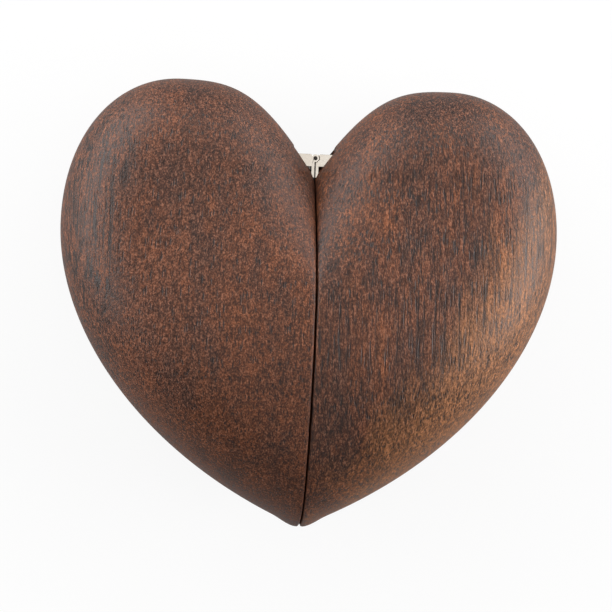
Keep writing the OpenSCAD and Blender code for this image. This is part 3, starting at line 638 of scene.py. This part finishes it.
# %% What is milled into both halves
LEAF_LOW, LEAF_HIGH = (c.copy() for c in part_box("hinge_leaf_right"))
MAGNET_LOW, MAGNET_HIGH = (c.copy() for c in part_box("magnet_right"))
PIVOT_Y = 31.2
LEAF_W = 4.4
LEAF_BOTTOM = PIVOT_Y - 1.7
FLANGE_T = 0.6
FLANGE_DROP = 2.3
FIT = 0.1


def mill_hinge_and_magnet(shape, mirror):
    """Cutters for the hinge's leaf and for the magnet; mirror is -1 on the left half."""
    z0, z1 = LEAF_LOW.z / MM - FIT, LEAF_HIGH.z / MM + FIT
    before = set(shape.verts)
    milled_block(shape, (-1, LEAF_BOTTOM - FIT, z0), (LEAF_W + FIT, TOP_Y, z1), 0.3)
    milled_block(shape, (-1, LEAF_BOTTOM - FLANGE_DROP - FIT, z0), (HALF_GAP + FLANGE_T + FIT, LEAF_BOTTOM, z1), 0.2)
    middle = (MAGNET_LOW + MAGNET_HIGH) / 2 / MM
    radius = (MAGNET_HIGH.y - MAGNET_LOW.y) / 2 / MM
    rod(shape, (-1, middle.y, middle.z), (MAGNET_HIGH.x / MM, middle.y, middle.z), radius)
    rod(shape, (0, middle.y, middle.z), (0.45, middle.y, middle.z), radius + 0.35, end_radius=radius)
    fresh = [v for v in shape.verts if v not in before]
    bmesh.ops.scale(shape, vec=(mirror, 1, 1), verts=fresh)


# %% The left half: the movement's space, the key's well and the screws' holes
BARREL = (-22.2, 5.8)
WELL_R = 13
WELL_DEPTH = 9
WELL_EDGE = 0.8
ARBOR_R = 1.6
HEAD_R = 2.2
HEAD_DEPTH = 2.2
SHANK_R = 0.95
CAVITY = (
    ((-21, -29, 11), (1, 16, 33.5), 2.5),
    ((-24.8, -24.5, 11), (1, 0, 28), 0.5),
    ((-28.4, -23.4, 11), (1, 13.5, 31.3), 0.5),
    ((-35, -6, 11), (1, 13.5, 31.3), 0.5),
    ((-35, -6, 11), (1, 16, 31.3), 2.5),
    ((-2.6, -31, 10), (1, 18, 34.5), 4.5),
)
MOVEMENT_SCREWS = ((-8, -14), (-24, -16), (-13, 12))

cutter = bmesh.new()
mill_hinge_and_magnet(cutter, -1)
for low, high, corner in CAVITY:
    milled_block(cutter, low, high, corner)
rod(cutter, (*BARREL, -1), (*BARREL, WELL_DEPTH), WELL_R, sides=96)
rod(cutter, (*BARREL, -0.01), (*BARREL, WELL_EDGE), WELL_R + WELL_EDGE, sides=96, end_radius=WELL_R)
rod(cutter, (*BARREL, WELL_DEPTH - 1), (*BARREL, 12), ARBOR_R)
for x, y in MOVEMENT_SCREWS:
    rod(cutter, (x, y, -1), (x, y, HEAD_DEPTH), HEAD_R)
    rod(cutter, (x, y, 2), (x, y, 12), SHANK_R, sides=24)
mill(left_half, as_object("cutter_left", cutter))

# %% The right half: the pocket for the ring
POCKET = ((-1, -27, 10), (22, 16, 33), 1.6)
cutter = bmesh.new()
mill_hinge_and_magnet(cutter, 1)
milled_block(cutter, *POCKET)
mill(right_half, as_object("cutter_right", cutter))


# %% Shading and finish of the halves
def smooth(piece, angle=35):
    """Smooth shading that keeps edges sharper than the angle."""
    piece.data.shade_smooth()
    piece.data.set_sharp_from_angle(angle=math.radians(angle))


for piece, body, finish, node in (
    (left_half, "left_half", walnut_left, "left_shell"),
    (right_half, "right_half", walnut_right, "right_shell"),
):
    smooth(piece)
    piece.data.materials.clear()
    piece.data.materials.append(finish)
    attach(piece, body)
    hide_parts(node)
    print(piece.name, "stands for", node)

# %% [markdown]
# ## Metals
#
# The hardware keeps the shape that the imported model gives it, and only gets a finish. A metal's look is in
# its reflections, so the recipe varies the roughness with fine scratches along the way the part was ground,
# and lets a warmer tarnish show through in soft patches. Cast zinc is duller and has a pebbled skin.

# %% The metal recipe
def metal(name, colour, tarnish, dull, grind, patch=5.0, age=0.4, relief=0.25):
    """A metal: dull is its roughness, grind the size of its scratches in millimetres along X, Y and Z,
    patch the size of its tarnished spots and age how far they show."""
    finish, tree, shader = new_finish(name)
    point = object_point(tree)
    spots = noise(tree, point, (patch, patch, patch), detail=3)
    scratches = noise(tree, point, grind, detail=3, rough=0.7)
    tint = tinted(tree, ramp(tree, spots, 0.42, 0.75, 0, age), colour, tarnish)
    tree.links.new(tint, shader.inputs["Base Color"])
    shader.inputs["Metallic"].default_value = 1
    tree.links.new(ramp(tree, scratches, 0.3, 0.7, 0.75 * dull, 1.3 * dull), shader.inputs["Roughness"])
    bump = add(tree, "Bump", {"Height": scratches, "Strength": relief, "Distance": 0.02 * MM})
    tree.links.new(bump.outputs[0], shader.inputs["Normal"])
    return finish


# %% The metals
nickel = metal("warm_nickel", srgb(208, 200, 189), srgb(168, 153, 134), 0.24, (0.3, 0.3, 3))
brass = metal("turned_brass", srgb(214, 174, 104), srgb(150, 106, 58), 0.26, (0.25, 2.5, 0.25))
brass_flat = metal("rolled_brass", srgb(208, 168, 100), srgb(146, 104, 60), 0.32, (2.5, 0.25, 0.25))
zinc = metal("cast_zinc", srgb(168, 170, 172), srgb(120, 120, 118), 0.5, (0.6, 0.6, 0.6), relief=0.8)
steel = metal("ground_steel", srgb(196, 197, 198), srgb(140, 138, 134), 0.28, (2.5, 0.2, 0.2))
shaft_steel = metal("drawn_steel", srgb(188, 189, 191), srgb(130, 126, 120), 0.22, (0.3, 0.3, 0.3))
# painted shade: the hinge pin gets a near-black steel so that the gap between the hinge leaves reads as shade
pin_shade_steel = metal("pin_steel_painted_shade", srgb(58, 54, 50), srgb(36, 30, 26), 0.4, (0.3, 0.3, 0.3))
blued = metal("blued_steel", srgb(62, 78, 124), srgb(60, 44, 70), 0.24, (0.4, 0.4, 0.4), patch=1.5, age=0.6)
print("metals:", ", ".join(m.name for m in (nickel, brass, brass_flat, zinc, steel, shaft_steel, pin_shade_steel, blued)))

# %% [markdown]
# ## Velvet and clear sheet
#
# Velvet is a dense short pile that looks dark from the front and lights up at grazing angles, which the
# shader's sheen layer gives. Where a finger has brushed it the pile lies over, so broad soft patches are a
# little lighter. The window is clear acrylic sheet: a see-through shader with the index of acrylic and the
# faintest haze of cleaning marks.

# %% Velvet and clear sheet
VELVET = srgb(104, 26, 40)
VELVET_DEEP = srgb(62, 12, 24)
VELVET_BRUSHED = srgb(132, 44, 56)


def velvet_finish():
    """Short pile with brushed patches."""
    finish, tree, shader = new_finish("velvet")
    point = object_point(tree)
    pile = noise(tree, point, (0.16, 0.16, 0.16), detail=2, rough=0.6)
    brushed = noise(tree, point, (5, 9, 5), detail=2, wander=0.4)
    colour = tinted(tree, ramp(tree, pile, 0.3, 0.6), VELVET_DEEP, VELVET)
    colour = tinted(tree, ramp(tree, brushed, 0.48, 0.68, 0, 0.55), colour, VELVET_BRUSHED)
    tree.links.new(colour, shader.inputs["Base Color"])
    shader.inputs["Roughness"].default_value = 0.95
    shader.inputs["Specular IOR Level"].default_value = 0.15
    shader.inputs["Sheen Weight"].default_value = 0.7
    shader.inputs["Sheen Roughness"].default_value = 0.35
    shader.inputs["Sheen Tint"].default_value = srgb(214, 120, 130)
    bump = add(tree, "Bump", {"Height": pile, "Strength": 0.7, "Distance": 0.08 * MM})
    tree.links.new(bump.outputs[0], shader.inputs["Normal"])
    return finish


def clear_finish():
    """Clear acrylic with a faint haze."""
    finish, tree, shader = new_finish("clear_acrylic")
    wipes = noise(tree, object_point(tree, (25, 0, 0)), (1, 9, 1.4), detail=3)
    shader.inputs["Base Color"].default_value = srgb(246, 250, 250)
    shader.inputs["Transmission Weight"].default_value = 1
    shader.inputs["IOR"].default_value = 1.49
    tree.links.new(ramp(tree, wipes, 0.4, 0.8, 0.01, 0.07), shader.inputs["Roughness"])
    return finish


velvet = velvet_finish()
clear = clear_finish()
print("soft and clear:", velvet.name, clear.name)

# %% [markdown]
# ## Finishing the hardware
#
# No real edge is perfectly sharp, and the thin bright line along an eased edge is what makes metal look like
# metal. A Bevel modifier eases the edges of each part that EASED lists, after a Weld has joined its triangles.
# The mesh underneath stays as it is, so the hardware still fits.

# %% Finish and ease the hardware
HARDWARE = {
    nickel: ("hinge_leaf_left", "hinge_leaf_right", "hinge_screws_left", "hinge_screws_right",
             "magnet_left", "magnet_right"),
    shaft_steel: ("cylinder_arbor", "winding_arbor", "governor_arbor", "fly_worm", "click_stud"),
    steel: ("comb", "ratchet_wheel", "click"),
    brass: ("cylinder_tube", "cylinder_pins", "cylinder_pinion", "cylinder_gear", "spring_barrel",
            "barrel_gear", "worm_wheel", "window_screws", "movement_screws", "stop_plunger"),
    brass_flat: ("winding_key", "governor_frame", "fly_vane"),
    zinc: ("bedplate", "barrel_bridge", "cylinder_bearings"),
    blued: ("comb_screws", "bridge_screws", "governor_screws", "mainspring", "click_spring"),
    # the hinge pin's near-black steel is painted shade in the hinge's gap
    pin_shade_steel: ("hinge_pin",),
    clear: ("window",),
}
EASED = {
    "hinge_leaf_left": 0.12, "hinge_leaf_right": 0.12, "magnet_left": 0.2, "magnet_right": 0.2,
    "bedplate": 0.3, "barrel_bridge": 0.15, "cylinder_bearings": 0.1, "comb": 0.06, "comb_screws": 0.1,
    "bridge_screws": 0.08, "window_screws": 0.08, "movement_screws": 0.15, "winding_key": 0.35,
    "governor_frame": 0.08, "window": 0.15, "spring_barrel": 0.15, "stop_plunger": 0.12, "cylinder_tube": 0.1,
}


def finish_node(name, finish):
    """Gives a CAD node its finish in every slot, and eases its edges where EASED lists the node."""
    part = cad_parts[name]
    part.data.materials.clear()
    part.data.materials.append(finish)
    if name in EASED:
        weld = part.modifiers.new("weld", "WELD")
        weld.merge_threshold = 0.001 * MM
        ease = part.modifiers.new("ease", "BEVEL")
        ease.width = EASED[name] * MM
        ease.segments = 2
        ease.limit_method = "ANGLE"
        ease.angle_limit = math.radians(35)
        ease.harden_normals = True


for finish, names in HARDWARE.items():
    for name in names:
        finish_node(name, finish)
print("hardware finished:", sum(len(names) for names in HARDWARE.values()))

# %% [markdown]
# ## The pocket's lining
#
# The pocket is lined with a tray of stiff card under velvet. It is a box with its mouth taken off, rounded
# where the card is folded, then given its thickness inwards and a soft lip.

# %% The lining
LINING_LOW, LINING_HIGH = (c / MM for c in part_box("pocket_lining"))
LINING_T = 0.9
FOLD = 1.55
tray = bmesh.new()
bmesh.ops.create_cube(tray, size=1)
bmesh.ops.scale(tray, vec=LINING_HIGH - LINING_LOW, verts=tray.verts)
bmesh.ops.translate(tray, vec=(LINING_LOW + LINING_HIGH) / 2, verts=tray.verts)
mouth = min(tray.faces, key=lambda f: f.calc_center_median().x)
bmesh.ops.delete(tray, geom=[mouth], context="FACES")
folds = [e for e in tray.edges if not e.is_boundary]
bmesh.ops.bevel(
    tray, geom=folds, offset=FOLD, segments=5, profile=0.5, affect="EDGES", material=-1, offset_type="OFFSET")
bmesh.ops.recalc_face_normals(tray, faces=tray.faces)
centre_x = (LINING_LOW.x + LINING_HIGH.x) / 2
if sum(f.normal.x * (f.calc_center_median().x - centre_x) for f in tray.faces) < 0:
    bmesh.ops.reverse_faces(tray, faces=tray.faces)
lining = as_object("velvet_lining", tray)
thick = lining.modifiers.new("card", "SOLIDIFY")
thick.thickness = LINING_T * MM
thick.offset = -1
lip = lining.modifiers.new("lip", "BEVEL")
lip.width = 0.3 * MM
lip.segments = 3
lip.limit_method = "ANGLE"
lip.angle_limit = math.radians(50)
settle(lining)
lining.data.materials.append(velvet)
smooth(lining, 45)
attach(lining, "right_half")
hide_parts("pocket_lining")
print("lining:", len(lining.data.polygons), "faces")

# %% [markdown]
# ## The ring cushions
#
# Two velvet bolsters fill the pocket side by side, and a ring is held in the slot between them. Each is a
# block of foam with a round nose, covered in velvet that is glued down at the back. The cover is simulated as
# cloth under a little pressure, so it swells evenly and wrinkles softly. Cloth of a few millimetres behaves
# badly, so the simulation runs on a copy many times larger. At its two ends the cover is tucked in, which
# leaves small pleats.

# %% One bolster
SWELL = 0.35  # how far the cover may move, in millimetres
ENLARGE = 20
CLOTH_FRAMES = 20
PLEATS = 9
PLEAT_DEPTH = 0.12
PLEAT_REACH = 4
PLEAT_FADE = 3


def bolster_form(size):
    """The foam block: round along its front and at its ends, square at the back where it is glued."""
    form = bmesh.new()
    bmesh.ops.create_cube(form, size=1)
    bmesh.ops.scale(form, vec=size, verts=form.verts)
    back = max(form.faces, key=lambda f: f.calc_center_median().x)
    rounded = [e for e in form.edges if e not in set(back.edges)]
    bmesh.ops.bevel(
        form, geom=rounded, offset=0.46 * size.z, segments=6, profile=0.5, affect="EDGES", material=-1,
        offset_type="OFFSET")
    return form


def swollen(piece, glued_x):
    """Lets the cover swell as cloth under pressure, held where it is glued."""
    held = piece.vertex_groups.new(name="glued")
    held.add([v.index for v in piece.data.vertices if v.co.x > glued_x], 1, "REPLACE")
    before = [v.co.copy() for v in piece.data.vertices]
    cloth = piece.modifiers.new("cover", "CLOTH")
    cloth.settings.use_pressure = True
    cloth.settings.uniform_pressure_force = 4
    cloth.settings.effector_weights.gravity = 0
    cloth.settings.vertex_group_mass = held.name
    cloth.point_cache.frame_start = 1
    cloth.point_cache.frame_end = CLOTH_FRAMES
    for number in range(1, CLOTH_FRAMES + 1):
        bpy.context.scene.frame_set(number)
    settle(piece)
    bpy.context.scene.frame_set(1)
    for vertex, start in zip(piece.data.vertices, before):
        move = vertex.co - start
        if move.length > SWELL * MM * ENLARGE:
            vertex.co = start + move.normalized() * SWELL * MM * ENLARGE


def bolster(name, node):
    """A velvet bolster in the place of one cushion of the frame."""
    low, high = (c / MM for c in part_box(node))
    middle = (low + high) / 2
    size = high - low - Vector((SWELL, 2 * SWELL, 2 * SWELL))
    form = bolster_form(size)
    bmesh.ops.scale(form, vec=(ENLARGE,) * 3, verts=form.verts)
    piece = as_object(name, form)
    remesh = piece.modifiers.new("skin", "REMESH")
    remesh.mode = "VOXEL"
    remesh.voxel_size = 0.5 * MM * ENLARGE
    settle(piece)
    swollen(piece, (size.x / 2 - 1) * MM * ENLARGE)
    for vertex in piece.data.vertices:
        point = vertex.co / (MM * ENLARGE)
        turn = math.atan2(point.z, point.x)
        end = min(max((abs(point.y) - size.y / 2 + PLEAT_REACH) / PLEAT_FADE, 0), 1)
        away = Vector((point.x, 0, point.z)).normalized()
        point -= away * PLEAT_DEPTH * end * (1 + math.cos(PLEATS * turn + (1 if point.y > 0 else 0)))
        vertex.co = (point + middle + Vector((SWELL / 2, 0, 0))) * MM
    finer = piece.modifiers.new("finer", "SUBSURF")
    finer.levels = finer.render_levels = 1
    settle(piece)
    piece.data.materials.append(velvet)
    smooth(piece, 180)
    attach(piece, "right_half")
    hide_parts(node)
    spans = [[round(f(v.co[axis] for v in piece.data.vertices) / MM, 2) for f in (min, max)] for axis in range(3)]
    print(name, len(piece.data.polygons), "faces, spans", spans)


bolster("bolster_front", "cushion_front")
bolster("bolster_back", "cushion_back")
